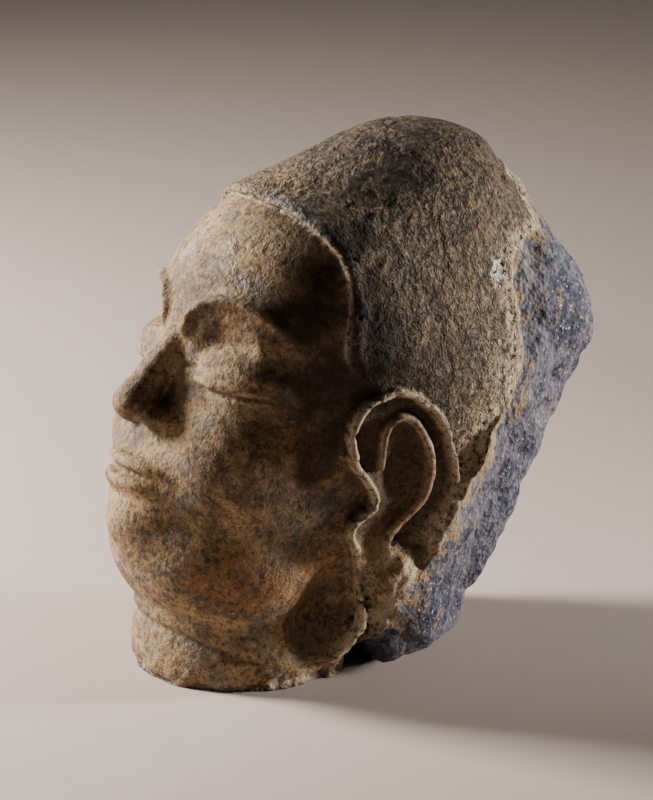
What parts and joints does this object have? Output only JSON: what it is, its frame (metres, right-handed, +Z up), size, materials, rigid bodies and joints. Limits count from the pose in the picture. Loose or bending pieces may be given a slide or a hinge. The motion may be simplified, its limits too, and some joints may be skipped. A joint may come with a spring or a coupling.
{
  "type": "carved stone head sculpture",
  "caption": "Life-size carved stone head with a smooth cap of hair, long ears and a broken neck, split from its backing rock, tilted back on its flat base.",
  "frame": {"origin": "middle of the object's box at floor level, under the head", "axes": "+Z up from the surface that the head rests on; the face looks towards -Y, tilted back; +X is the figure's left"},
  "size_m": [0.1536, 0.2404, 0.2414],
  "materials": {
    "stone": "weathered brown carved surface, grey crystalline rock where it is broken"
  },
  "bodies": {
    "root": {"head": "stone"}
  },
  "joints": []
}
